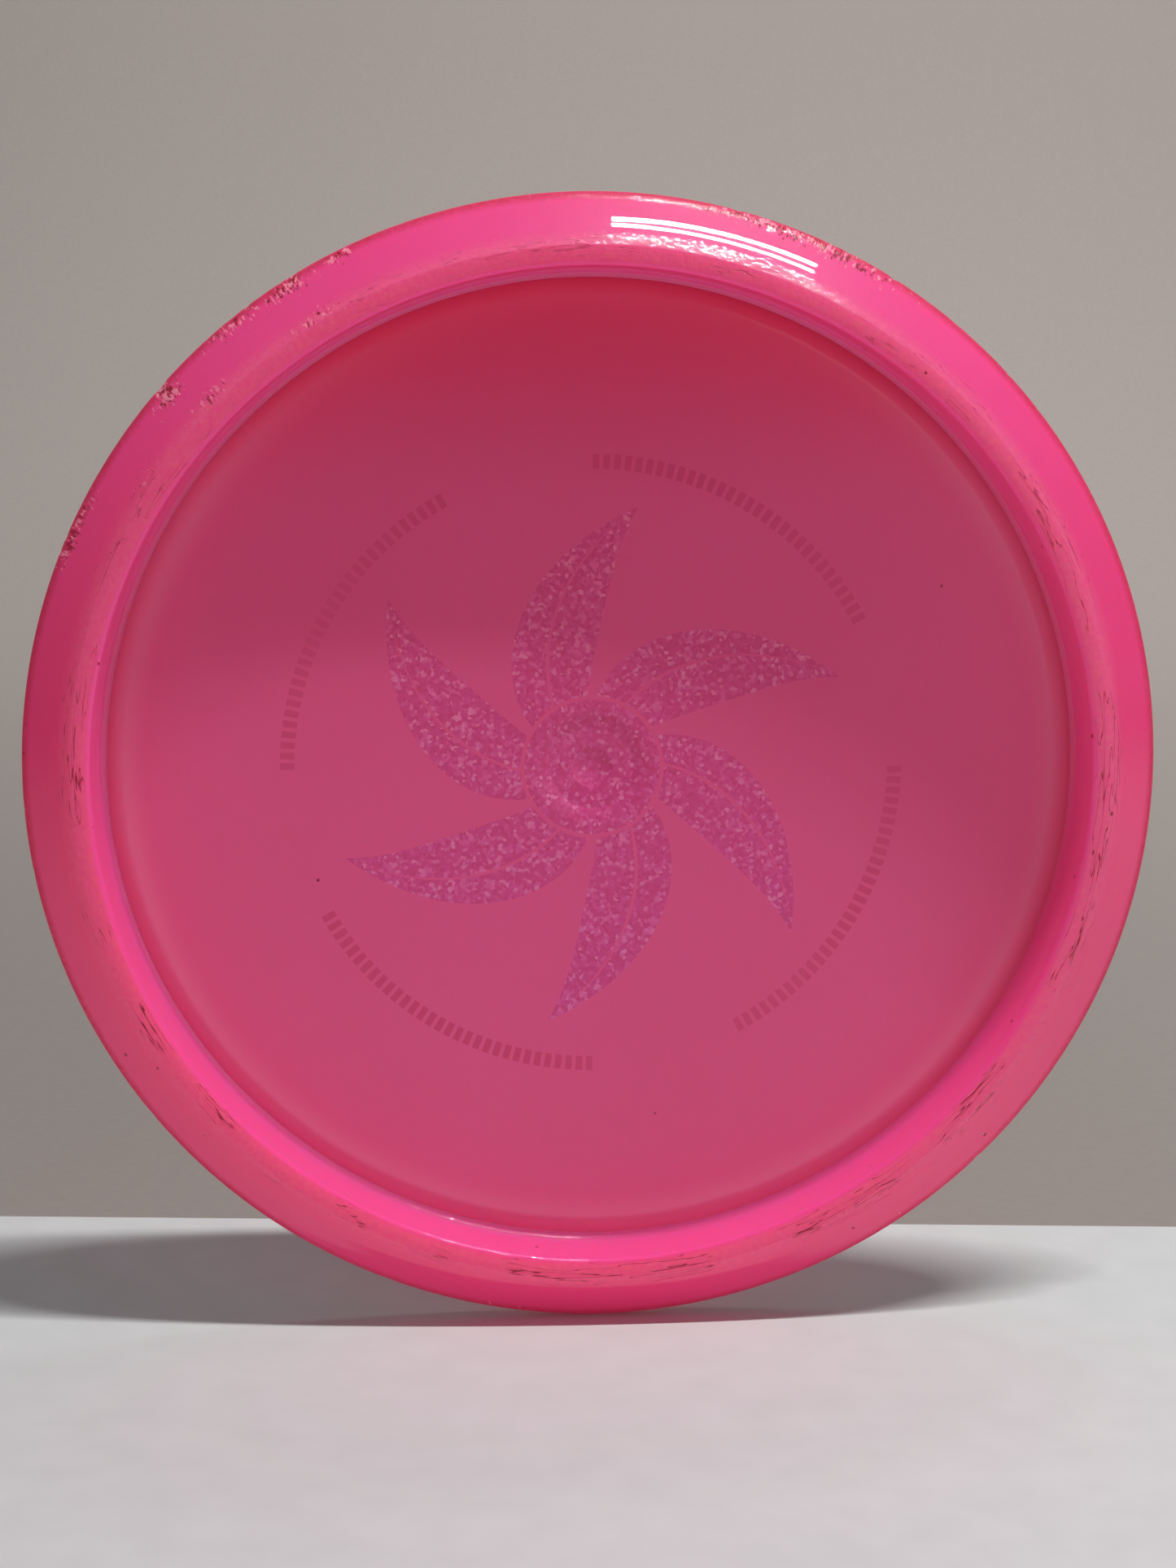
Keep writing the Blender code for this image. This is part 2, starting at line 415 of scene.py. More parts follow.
scuff_frame = nodes.new("NodeFrame")
scuff_frame.label = "Torn plastic"
tear_place = nodes.new("ShaderNodeVectorMath")
tear_place.label = "Fine place round the rim"
tear_place.operation = "SCALE"
tear_place.inputs["Scale"].default_value = 170
tear_place.location = (-1300, -900)
tear_across = nodes.new("ShaderNodeMath")
tear_across.label = "Tear length"
tear_across.operation = "MULTIPLY"
tear_across.inputs[1].default_value = 700
tear_across.location = (-1300, -1080)
tear_up = nodes.new("ShaderNodeMath")
tear_up.label = "Tear length up the nose"
tear_up.operation = "MULTIPLY"
tear_up.inputs[1].default_value = 700
tear_up.location = (-1300, -1240)
tear_offset = nodes.new("ShaderNodeCombineXYZ")
tear_offset.label = "Length as a step in Y"
tear_offset.location = (-1100, -1080)
tear_where = nodes.new("ShaderNodeVectorMath")
tear_where.label = "Place for tears"
tear_where.operation = "ADD"
tear_where.location = (-900, -960)
tears = nodes.new("ShaderNodeTexNoise")
tears.label = "Short tears across the nose"
tears.noise_dimensions = "4D"
tears.inputs["Scale"].default_value = 1.0
tears.inputs["Detail"].default_value = 4
tears.inputs["Roughness"].default_value = 0.6
tears.location = (-700, -960)
tear_level = nodes.new("ShaderNodeMath")
tear_level.label = "Tears where it is scuffed"
tear_level.operation = "MULTIPLY_ADD"
tear_level.inputs[1].default_value = 0.16
tear_level.location = (-500, -900)
light_tears = nodes.new("ShaderNodeMapRange")
light_tears.label = "Pale tears"
light_tears.inputs["From Min"].default_value = 0.70
light_tears.inputs["From Max"].default_value = 0.76
light_tears.location = (-300, -820)
dark_level = nodes.new("ShaderNodeMath")
dark_level.label = "Dirt where it is scuffed"
dark_level.operation = "MULTIPLY_ADD"
dark_level.inputs[1].default_value = -0.16
dark_level.location = (-500, -1100)
dark_tears = nodes.new("ShaderNodeMapRange")
dark_tears.label = "Tears with dirt in them"
dark_tears.inputs["From Min"].default_value = 0.28
dark_tears.inputs["From Max"].default_value = 0.23
dark_tears.location = (-300, -1060)
for node in (tear_place, tear_across, tear_up, tear_offset, tear_where, tears, tear_level,
             light_tears, dark_level, dark_tears):
    node.parent = scuff_frame
links.new(direction.outputs[0], tear_place.inputs[0])
links.new(radius_here.outputs["Value"], tear_across.inputs[0])
links.new(tear_across.outputs[0], tear_offset.inputs["Y"])
links.new(tear_place.outputs[0], tear_where.inputs[0])
links.new(tear_offset.outputs[0], tear_where.inputs[1])
links.new(tear_where.outputs[0], tears.inputs["Vector"])
links.new(height_here.outputs[0], tear_up.inputs[0])
links.new(tear_up.outputs[0], tears.inputs["W"])
links.new(scuff_zone.outputs["Fac"], tear_level.inputs[0])
links.new(tears.outputs["Fac"], tear_level.inputs[2])
links.new(tear_level.outputs[0], light_tears.inputs["Value"])
links.new(scuff_zone.outputs["Fac"], dark_level.inputs[0])
links.new(tears.outputs["Fac"], dark_level.inputs[2])
links.new(dark_level.outputs[0], dark_tears.inputs["Value"])

speck_frame = nodes.new("NodeFrame")
speck_frame.label = "Specks of dirt"
speck_cells = nodes.new("ShaderNodeTexVoronoi")
speck_cells.label = "Places for specks"
speck_cells.inputs["Scale"].default_value = 110
speck_cells.location = (-700, -1300)
speck_dots = nodes.new("ShaderNodeMapRange")
speck_dots.label = "Small dots"
speck_dots.inputs["From Min"].default_value = 0.055
speck_dots.inputs["From Max"].default_value = 0.035
speck_dots.location = (-500, -1300)
for node in (speck_cells, speck_dots):
    node.parent = speck_frame
links.new(place.outputs["Object"], speck_cells.inputs["Vector"])
links.new(speck_cells.outputs["Distance"], speck_dots.inputs["Value"])

colour_frame = nodes.new("NodeFrame")
colour_frame.label = "Colour"
cloud = nodes.new("ShaderNodeTexNoise")
cloud.label = "Flow of the dye"
cloud.inputs["Scale"].default_value = 30
cloud.inputs["Detail"].default_value = 3
cloud.location = (-700, 700)
pinks = nodes.new("ShaderNodeMix")
pinks.label = "Two pinks"
pinks.data_type = "RGBA"
pinks.inputs["A"].default_value = (0.83, 0.070, 0.280, 1)
pinks.inputs["B"].default_value = (0.87, 0.096, 0.360, 1)
pinks.location = (-400, 700)
# Painted shade: outside the band the pink is multiplied towards red, with less green and blue, more
# and more from the top edge down.
painted_shade_zone = nodes.new("ShaderNodeMapRange")
painted_shade_zone.label = "From the top edge down"
painted_shade_zone.interpolation_type = "SMOOTHSTEP"
painted_shade_zone.inputs["From Min"].default_value = 0.10
painted_shade_zone.inputs["From Max"].default_value = -0.01
painted_shade_zone.inputs["To Max"].default_value = 0.40
painted_shade_zone.location = (-900, 900)
outer_zone = nodes.new("ShaderNodeMapRange")
outer_zone.label = "Outside the band"
outer_zone.inputs["From Min"].default_value = 0.0970
outer_zone.inputs["From Max"].default_value = 0.1010
outer_zone.location = (-900, 1200)
painted_shade_there = nodes.new("ShaderNodeMath")
painted_shade_there.label = "Redder only outside the band"
painted_shade_there.operation = "MULTIPLY"
painted_shade_there.location = (-750, 1050)
# This is painted shade, not a change in the dye: the rim is made redder lower down.
painted_shade_redder = nodes.new("ShaderNodeMix")
painted_shade_redder.label = "Dye turns redder lower down"
painted_shade_redder.data_type = "RGBA"
painted_shade_redder.blend_type = "MULTIPLY"
painted_shade_redder.inputs["B"].default_value = (1.0, 0.20, 0.25, 1)
painted_shade_redder.location = (-600, 900)
haze = nodes.new("ShaderNodeTexNoise")
haze.label = "Fine uneven scuffing"
haze.inputs["Scale"].default_value = 900
haze.inputs["Detail"].default_value = 5
haze.location = (-700, 480)
band_haze = nodes.new("ShaderNodeMath")
band_haze.label = "Scuffing on the band"
band_haze.operation = "MULTIPLY"
band_haze.location = (-400, 480)
band_tint = nodes.new("ShaderNodeMix")
band_tint.label = "Salmon scuffed band"
band_tint.data_type = "RGBA"
band_tint.inputs["B"].default_value = (0.84, 0.190, 0.300, 1)
band_tint.location = (-150, 700)
nose_edge = nodes.new("ShaderNodeMath")
nose_edge.label = "Always some at the very edge"
nose_edge.operation = "MULTIPLY"
nose_edge.inputs[1].default_value = 0.4
nose_edge.location = (-600, 320)
nose_haze = nodes.new("ShaderNodeMath")
nose_haze.label = "Scuffing on the nose"
nose_haze.operation = "MULTIPLY_ADD"
nose_haze.location = (-400, 320)
nose_tint = nodes.new("ShaderNodeMix")
nose_tint.label = "Dull scuffed nose"
nose_tint.data_type = "RGBA"
nose_tint.inputs["B"].default_value = (0.42, 0.034, 0.075, 1)
nose_tint.location = (80, 700)
tear_tint = nodes.new("ShaderNodeMix")
tear_tint.label = "Paler torn plastic"
tear_tint.data_type = "RGBA"
tear_tint.inputs["B"].default_value = (0.86, 0.34, 0.44, 1)
tear_tint.location = (320, 700)
grime = nodes.new("ShaderNodeMath")
grime.label = "Dirt in scratches and tears"
grime.operation = "MAXIMUM"
grime.location = (80, 420)
all_grime = nodes.new("ShaderNodeMath")
all_grime.label = "With the specks"
all_grime.operation = "MAXIMUM"
all_grime.location = (320, 420)
dirt_tint = nodes.new("ShaderNodeMix")
dirt_tint.label = "Brown dirt"
dirt_tint.data_type = "RGBA"
dirt_tint.inputs["B"].default_value = (0.18, 0.010, 0.010, 1)
dirt_tint.location = (560, 700)
for node in (cloud, pinks, painted_shade_zone, outer_zone, painted_shade_there, painted_shade_redder, haze, band_haze,
             band_tint, nose_edge, nose_haze, nose_tint, tear_tint, grime, all_grime, dirt_tint):
    node.parent = colour_frame
links.new(place.outputs["Object"], cloud.inputs["Vector"])
links.new(place.outputs["Object"], haze.inputs["Vector"])
links.new(cloud.outputs["Fac"], pinks.inputs["Factor"])
links.new(haze.outputs["Fac"], band_haze.inputs[0])
links.new(rubbed.outputs[0], band_haze.inputs[1])
links.new(nose_zone.outputs["Result"], nose_edge.inputs[0])
links.new(haze.outputs["Fac"], nose_haze.inputs[0])
links.new(nose_zone.outputs["Result"], nose_haze.inputs[1])
links.new(nose_edge.outputs[0], nose_haze.inputs[2])
links.new(parts.outputs["Z"], painted_shade_zone.inputs["Value"])
links.new(radius_here.outputs["Value"], outer_zone.inputs["Value"])
links.new(painted_shade_zone.outputs["Result"], painted_shade_there.inputs[0])
links.new(outer_zone.outputs["Result"], painted_shade_there.inputs[1])
links.new(painted_shade_there.outputs[0], painted_shade_redder.inputs["Factor"])
links.new(pinks.outputs["Result"], painted_shade_redder.inputs["A"])
links.new(painted_shade_redder.outputs["Result"], band_tint.inputs["A"])
links.new(band_haze.outputs[0], band_tint.inputs["Factor"])
links.new(band_tint.outputs["Result"], nose_tint.inputs["A"])
links.new(nose_haze.outputs[0], nose_tint.inputs["Factor"])
links.new(nose_tint.outputs["Result"], tear_tint.inputs["A"])
links.new(light_tears.outputs["Result"], tear_tint.inputs["Factor"])
links.new(band_scratches.outputs[0], grime.inputs[0])
links.new(dark_tears.outputs["Result"], grime.inputs[1])
links.new(grime.outputs[0], all_grime.inputs[0])
links.new(speck_dots.outputs["Result"], all_grime.inputs[1])
links.new(tear_tint.outputs["Result"], dirt_tint.inputs["A"])
links.new(all_grime.outputs[0], dirt_tint.inputs["Factor"])

surface_frame = nodes.new("NodeFrame")
surface_frame.label = "Gloss and relief"
dull = nodes.new("ShaderNodeMath")
dull.label = "Worn band and nose together"
dull.operation = "MAXIMUM"
dull.location = (-100, 200)
duller = nodes.new("ShaderNodeMath")
duller.label = "With the torn places"
duller.operation = "MAXIMUM"
duller.location = (100, 250)
gloss = nodes.new("ShaderNodeMapRange")
gloss.label = "Clear gloss, lost where worn"
gloss.inputs["From Max"].default_value = 0.75
gloss.inputs["To Min"].default_value = 1.0
gloss.inputs["To Max"].default_value = 0.05
gloss.location = (300, 300)
relief_height = nodes.new("ShaderNodeMath")
relief_height.label = "Grain where dull"
relief_height.operation = "MULTIPLY"
relief_height.location = (100, 60)
scuff_relief = nodes.new("ShaderNodeBump")
scuff_relief.label = "Rough grain of the scuffing"
scuff_relief.inputs["Strength"].default_value = 0.5
scuff_relief.inputs["Distance"].default_value = 0.0003
scuff_relief.location = (300, 60)
scratch_relief = nodes.new("ShaderNodeBump")
scratch_relief.label = "Cut of the scratches and tears"
scratch_relief.invert = True
scratch_relief.inputs["Strength"].default_value = 0.6
scratch_relief.inputs["Distance"].default_value = 0.0003
scratch_relief.location = (500, 60)
for node in (dull, duller, gloss, relief_height, scuff_relief, scratch_relief):
    node.parent = surface_frame
links.new(band_haze.outputs[0], dull.inputs[0])
links.new(nose_haze.outputs[0], dull.inputs[1])
links.new(dull.outputs[0], duller.inputs[0])
links.new(light_tears.outputs["Result"], duller.inputs[1])
links.new(duller.outputs[0], gloss.inputs["Value"])
links.new(duller.outputs[0], relief_height.inputs[0])
links.new(haze.outputs["Fac"], relief_height.inputs[1])
links.new(relief_height.outputs[0], scuff_relief.inputs["Height"])
links.new(all_grime.outputs[0], scratch_relief.inputs["Height"])
links.new(scuff_relief.outputs["Normal"], scratch_relief.inputs["Normal"])

plastic = nodes.new("ShaderNodeBsdfPrincipled")
plastic.label = "Clear pink urethane"
plastic.inputs["IOR"].default_value = 1.45
plastic.inputs["Roughness"].default_value = 0.42
plastic.inputs["Specular IOR Level"].default_value = 0.15
plastic.inputs["Subsurface Weight"].default_value = 1.0
plastic.inputs["Subsurface Radius"].default_value = (1.0, 0.16, 0.30)
plastic.inputs["Subsurface Scale"].default_value = 0.011
plastic.inputs["Coat Roughness"].default_value = 0.02
plastic.inputs["Coat IOR"].default_value = 1.45
# Painted glow: a faint red emission of the plastic's own lifts its shaded parts towards crimson.
plastic.inputs["Emission Color"].default_value = (1.0, 0.04, 0.15, 1)
plastic.inputs["Emission Strength"].default_value = 0.15
plastic.location = (900, 500)
output = nodes.new("ShaderNodeOutputMaterial")
output.location = (1200, 500)
links.new(dirt_tint.outputs["Result"], plastic.inputs["Base Color"])
links.new(gloss.outputs["Result"], plastic.inputs["Coat Weight"])
links.new(scratch_relief.outputs["Normal"], plastic.inputs["Normal"])
links.new(scratch_relief.outputs["Normal"], plastic.inputs["Coat Normal"])
links.new(plastic.outputs[0], output.inputs["Surface"])

rim.data.materials.append(rim_plastic)
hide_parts("rim")
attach(rim, "root")


# --- Flight plate ----------------------------------------------------------------------------
# The thin domed web inside the rim, of the same pink urethane. It is thin enough to be hazy
# rather than solid, so the stamp shows through it. The mould's gate leaves a round mark in the
# middle of its underside, inside a faint step.

plate_dome = 0.0029
plate_thickness = 0.0024
plate_bite = 0.00005
gate_radius = 0.0038
gate_depth = 0.00035
gate_step_radius = 0.0085
gate_step_depth = 0.00015
plate_rings = 24
plate_steps = 512


def dome(radius, edge_height):
    """Height of the dome at a radius, from edge_height where the plate meets the rim."""
    share = min(radius / plate_radius, 1)
    return edge_height + plate_dome * (1 - share * share)


edge_radius = seam_radius + plate_bite

# The stamp's outline, which the plate's plastic shows from below: curved blades round a hub,
# each split along its middle, inside a ring of bars that is broken into four.
hub_radius = 0.0140
hub_gap = 0.0008
tip_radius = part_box("stamp_pinwheel")[1].z
blade_count = 6
blade_width = 0.0180
blade_sweep = math.radians(40)
blade_phase = 0.25
slit_middle = -0.04
slit_half = 0.02
ring_inner = 0.0576
ring_outer = 0.0604
ring_span = math.radians(62)
ring_bars = 31
bar_pitch = ring_span / ring_bars
bar_width = 0.62 * bar_pitch

top_line = [edge_radius * i / plate_rings for i in range(plate_rings + 1)]
under_line = [
    gate_step_radius + (edge_radius - gate_step_radius) * i / plate_rings
    for i in range(plate_rings, -1, -1)
]
plate_section = [(r, dome(r, rim_depth + plate_thickness)) for r in top_line]
plate_section += [(r, dome(r, rim_depth)) for r in under_line]
for radius, depth in (
    (gate_step_radius - 0.00015, 0.00012),
    (gate_step_radius - 0.0006, gate_step_depth),
    (gate_radius + 0.0004, gate_step_depth),
    (gate_radius, 0.00020),
    (gate_radius - 0.0002, gate_depth),
):
    plate_section.append((radius, dome(radius, rim_depth) + depth))
plate_section.append((0.0, dome(0.0, rim_depth) + gate_depth))
plate = turn("disc_flight_plate", plate_section, False, plate_steps)

plate_plastic = bpy.data.materials.new("plate_plastic")
plate_plastic.use_nodes = True
nodes = plate_plastic.node_tree.nodes
links = plate_plastic.node_tree.links
nodes.clear()

place_frame = nodes.new("NodeFrame")
place_frame.label = "Where on the plate"
place = nodes.new("ShaderNodeTexCoord")
place.label = "Place on the disc"
place.location = (-2600, 0)
parts = nodes.new("ShaderNodeSeparateXYZ")
parts.label = "Across, deep, up"
parts.location = (-2400, 0)
flat = nodes.new("ShaderNodeCombineXYZ")
flat.label = "Place in the disc's plane"
flat.location = (-2200, 100)
radius_here = nodes.new("ShaderNodeVectorMath")
radius_here.label = "Distance from the spin axis"
radius_here.operation = "LENGTH"
radius_here.location = (-2000, 100)
down = nodes.new("ShaderNodeMath")
down.label = "Down"
down.operation = "MULTIPLY"
down.inputs[1].default_value = -1
down.location = (-2200, -100)
angle_here = nodes.new("ShaderNodeMath")
angle_here.label = "Angle round the axis"
angle_here.operation = "ARCTAN2"
angle_here.location = (-2000, -100)
for node in (place, parts, flat, radius_here, down, angle_here):
    node.parent = place_frame
links.new(place.outputs["Object"], parts.inputs[0])
links.new(parts.outputs["X"], flat.inputs["X"])
links.new(parts.outputs["Z"], flat.inputs["Z"])
links.new(flat.outputs[0], radius_here.inputs[0])
links.new(parts.outputs["Z"], down.inputs[0])
links.new(down.outputs[0], angle_here.inputs[0])
links.new(parts.outputs["X"], angle_here.inputs[1])

blade_frame = nodes.new("NodeFrame")
blade_frame.label = "Pinwheel showing through"
out_along = nodes.new("ShaderNodeMapRange")
out_along.label = "Share of the way out along a blade"
out_along.clamp = False
out_along.inputs["From Min"].default_value = hub_radius
out_along.inputs["From Max"].default_value = tip_radius
out_along.location = (-1700, 500)
unswept = nodes.new("ShaderNodeMath")
unswept.label = "Angle without the sweep"
unswept.operation = "MULTIPLY_ADD"
unswept.inputs[1].default_value = -blade_sweep
unswept.location = (-1500, 600)
one_blade = nodes.new("ShaderNodeMath")
one_blade.label = "Angle from the nearest blade"
one_blade.operation = "WRAP"
one_blade.inputs[1].default_value = math.pi / blade_count
one_blade.inputs[2].default_value = -math.pi / blade_count
one_blade.location = (-1300, 600)
off_middle = nodes.new("ShaderNodeMath")
off_middle.label = "Distance from its middle line"
off_middle.operation = "MULTIPLY"
off_middle.location = (-1100, 600)
width_phase = nodes.new("ShaderNodeMath")
width_phase.label = "Where on the width's curve"
width_phase.operation = "MULTIPLY_ADD"
width_phase.inputs[1].default_value = math.pi * (1 - blade_phase)
width_phase.inputs[2].default_value = math.pi * blade_phase
width_phase.location = (-1500, 400)
width_share = nodes.new("ShaderNodeMath")
width_share.label = "Share of the greatest width"
width_share.operation = "SINE"
width_share.location = (-1300, 400)
width_here = nodes.new("ShaderNodeMath")
width_here.label = "Width here"
width_here.operation = "MULTIPLY"
width_here.inputs[1].default_value = blade_width
width_here.location = (-1100, 400)
across_here = nodes.new("ShaderNodeMath")
across_here.label = "Share of the width"
across_here.operation = "DIVIDE"
across_here.location = (-900, 500)
in_width = nodes.new("ShaderNodeMath")
in_width.label = "Inside the blade's sides"
in_width.operation = "COMPARE"
in_width.inputs[1].default_value = 0
in_width.inputs[2].default_value = 0.5
in_width.location = (-700, 650)
in_slit = nodes.new("ShaderNodeMath")
in_slit.label = "In its slit"
in_slit.operation = "COMPARE"
in_slit.inputs[1].default_value = slit_middle
in_slit.inputs[2].default_value = slit_half
in_slit.location = (-700, 480)
in_length = nodes.new("ShaderNodeMath")
in_length.label = "Between hub and tip"
in_length.operation = "COMPARE"
in_length.inputs[1].default_value = 0.5
in_length.inputs[2].default_value = 0.5
in_length.location = (-700, 310)
unslit = nodes.new("ShaderNodeMath")
unslit.label = "Blade without its slit"
unslit.operation = "SUBTRACT"
unslit.use_clamp = True
unslit.location = (-500, 600)
blade_mark = nodes.new("ShaderNodeMath")
blade_mark.label = "Blade"
blade_mark.operation = "MULTIPLY"
blade_mark.location = (-300, 500)
hub_mark = nodes.new("ShaderNodeMath")
hub_mark.label = "Hub"
hub_mark.operation = "LESS_THAN"
hub_mark.inputs[1].default_value = hub_radius - hub_gap
hub_mark.location = (-500, 310)
pinwheel_mark = nodes.new("ShaderNodeMath")
pinwheel_mark.label = "Pinwheel"
pinwheel_mark.operation = "MAXIMUM"
pinwheel_mark.location = (-100, 450)
for node in (out_along, unswept, one_blade, off_middle, width_phase, width_share, width_here,
             across_here, in_width, in_slit, in_length, unslit, blade_mark, hub_mark,
             pinwheel_mark):
    node.parent = blade_frame
links.new(radius_here.outputs["Value"], out_along.inputs["Value"])
links.new(out_along.outputs["Result"], unswept.inputs[0])
links.new(angle_here.outputs[0], unswept.inputs[2])
links.new(unswept.outputs[0], one_blade.inputs[0])
links.new(one_blade.outputs[0], off_middle.inputs[0])
links.new(radius_here.outputs["Value"], off_middle.inputs[1])
links.new(out_along.outputs["Result"], width_phase.inputs[0])
links.new(width_phase.outputs[0], width_share.inputs[0])
links.new(width_share.outputs[0], width_here.inputs[0])
links.new(off_middle.outputs[0], across_here.inputs[0])
links.new(width_here.outputs[0], across_here.inputs[1])
links.new(across_here.outputs[0], in_width.inputs[0])
links.new(across_here.outputs[0], in_slit.inputs[0])
links.new(out_along.outputs["Result"], in_length.inputs[0])
links.new(in_width.outputs[0], unslit.inputs[0])
links.new(in_slit.outputs[0], unslit.inputs[1])
links.new(unslit.outputs[0], blade_mark.inputs[0])
links.new(in_length.outputs[0], blade_mark.inputs[1])
links.new(radius_here.outputs["Value"], hub_mark.inputs[0])
links.new(blade_mark.outputs[0], pinwheel_mark.inputs[0])
links.new(hub_mark.outputs[0], pinwheel_mark.inputs[1])

ring_frame = nodes.new("NodeFrame")
ring_frame.label = "Ring of bars showing through"
in_ring = nodes.new("ShaderNodeMath")
in_ring.label = "Between the ring's edges"
in_ring.operation = "COMPARE"
in_ring.inputs[1].default_value = (ring_inner + ring_outer) / 2
in_ring.inputs[2].default_value = (ring_outer - ring_inner) / 2
in_ring.location = (-1500, -300)
quarter = nodes.new("ShaderNodeMath")
quarter.label = "Angle in its quarter"
quarter.operation = "WRAP"
quarter.inputs[1].default_value = math.tau / 4
quarter.inputs[2].default_value = 0
quarter.location = (-1700, -480)
in_arc = nodes.new("ShaderNodeMath")
in_arc.label = "In the printed part"
in_arc.operation = "LESS_THAN"
in_arc.inputs[1].default_value = ring_span
in_arc.location = (-1500, -480)
one_bar = nodes.new("ShaderNodeMath")
one_bar.label = "Angle along one bar"
one_bar.operation = "WRAP"
one_bar.inputs[1].default_value = bar_pitch
one_bar.inputs[2].default_value = 0
one_bar.location = (-1500, -660)
in_bar = nodes.new("ShaderNodeMath")
in_bar.label = "On a bar, not a gap"
in_bar.operation = "LESS_THAN"
in_bar.inputs[1].default_value = bar_width
in_bar.location = (-1300, -660)
arc_mark = nodes.new("ShaderNodeMath")
arc_mark.label = "Printed part of the ring"
arc_mark.operation = "MULTIPLY"
arc_mark.location = (-1100, -400)
ring_mark = nodes.new("ShaderNodeMath")
ring_mark.label = "Bars"
ring_mark.operation = "MULTIPLY"
ring_mark.location = (-900, -500)
for node in (in_ring, quarter, in_arc, one_bar, in_bar, arc_mark, ring_mark):
    node.parent = ring_frame
links.new(radius_here.outputs["Value"], in_ring.inputs[0])
links.new(angle_here.outputs[0], quarter.inputs[0])
links.new(quarter.outputs[0], in_arc.inputs[0])
links.new(quarter.outputs[0], one_bar.inputs[0])
links.new(one_bar.outputs[0], in_bar.inputs[0])
links.new(in_ring.outputs[0], arc_mark.inputs[0])
links.new(in_arc.outputs[0], arc_mark.inputs[1])
links.new(arc_mark.outputs[0], ring_mark.inputs[0])
links.new(in_bar.outputs[0], ring_mark.inputs[1])

flake_frame = nodes.new("NodeFrame")
flake_frame.label = "Glitter showing through"
flakes = nodes.new("ShaderNodeTexVoronoi")
flakes.label = "One cell for each flake"
flakes.inputs["Scale"].default_value = 1400
flakes.location = (-900, -900)
flake_parts = nodes.new("ShaderNodeSeparateColor")
flake_parts.label = "A random value for each flake"
flake_parts.location = (-700, -900)
# The flakes' pinks, with painted glints: a few flakes are painted bright, as if they caught the
# light.
flake_tones_and_painted_glints = nodes.new("ShaderNodeValToRGB")
flake_tones_and_painted_glints.label = "Few flakes are bright"
flake_tones_and_painted_glints.color_ramp.elements[0].position = 0.0
flake_tones_and_painted_glints.color_ramp.elements[0].color = (0.54, 0.040, 0.190, 1)
flake_tones_and_painted_glints.color_ramp.elements[1].position = 1.0
flake_tones_and_painted_glints.color_ramp.elements[1].color = (0.95, 0.46, 0.66, 1)
middle_flakes = flake_tones_and_painted_glints.color_ramp.elements.new(0.62)
middle_flakes.color = (0.70, 0.10, 0.36, 1)
painted_glint_flakes = flake_tones_and_painted_glints.color_ramp.elements.new(0.86)
painted_glint_flakes.color = (0.82, 0.22, 0.50, 1)
flake_tones_and_painted_glints.location = (-500, -900)
# Painted light: the glitter stays pinker toward the top, where it catches the light, and is made
# more violet lower down.
painted_light_drift = nodes.new("ShaderNodeMapRange")
painted_light_drift.label = "More violet to one side"
painted_light_drift.inputs["From Min"].default_value = 0.045
painted_light_drift.inputs["From Max"].default_value = -0.055
painted_light_drift.inputs["To Max"].default_value = 0.75
painted_light_drift.location = (-700, -1150)
flake_tints_and_painted_light = nodes.new("ShaderNodeMix")
flake_tints_and_painted_light.label = "Pink to violet"
flake_tints_and_painted_light.data_type = "RGBA"
flake_tints_and_painted_light.blend_type = "MULTIPLY"
flake_tints_and_painted_light.inputs["B"].default_value = (0.80, 0.95, 1.45, 1)
flake_tints_and_painted_light.location = (-200, -1000)
for node in (flakes, flake_parts, flake_tones_and_painted_glints, painted_light_drift, flake_tints_and_painted_light):
    node.parent = flake_frame
links.new(place.outputs["Object"], flakes.inputs["Vector"])
links.new(flakes.outputs["Color"], flake_parts.inputs[0])
links.new(flake_parts.outputs[0], flake_tones_and_painted_glints.inputs["Fac"])
links.new(parts.outputs["Z"], painted_light_drift.inputs["Value"])
links.new(painted_light_drift.outputs["Result"], flake_tints_and_painted_light.inputs["Factor"])
links.new(flake_tones_and_painted_glints.outputs["Color"], flake_tints_and_painted_light.inputs["A"])

colour_frame = nodes.new("NodeFrame")
colour_frame.label = "Colour"
cloud = nodes.new("ShaderNodeTexNoise")
cloud.label = "Flow of the dye"
cloud.inputs["Scale"].default_value = 16
cloud.inputs["Detail"].default_value = 4
cloud.location = (-900, 1100)
pinks = nodes.new("ShaderNodeMix")
pinks.label = "Two hazy pinks"
pinks.data_type = "RGBA"
pinks.inputs["A"].default_value = (0.76, 0.130, 0.330, 1)
pinks.inputs["B"].default_value = (0.82, 0.160, 0.400, 1)
pinks.location = (-600, 1100)
specks = nodes.new("ShaderNodeTexVoronoi")
specks.label = "Specks of dirt"
specks.inputs["Scale"].default_value = 60
specks.location = (-900, 850)
speck_dots = nodes.new("ShaderNodeMapRange")
speck_dots.label = "Dots at the cell centres"
speck_dots.inputs["From Min"].default_value = 0.030
speck_dots.inputs["From Max"].default_value = 0.018
speck_dots.location = (-600, 850)
ring_tint = nodes.new("ShaderNodeMix")
ring_tint.label = "Darker where the bars are"
ring_tint.data_type = "RGBA"
ring_tint.inputs["B"].default_value = (0.52, 0.030, 0.140, 1)
ring_tint.location = (100, 900)
ring_strength = nodes.new("ShaderNodeMath")
ring_strength.label = "Bars show weakly and unevenly"
ring_strength.operation = "MULTIPLY"
ring_strength.location = (-100, 750)
ring_fade = nodes.new("ShaderNodeMapRange")
ring_fade.label = "Fades with the plastic's haze"
ring_fade.inputs["From Min"].default_value = 0.35
ring_fade.inputs["From Max"].default_value = 0.65
ring_fade.inputs["To Min"].default_value = 0.18
ring_fade.inputs["To Max"].default_value = 0.50
ring_fade.location = (-300, 750)
film_strength = nodes.new("ShaderNodeMath")
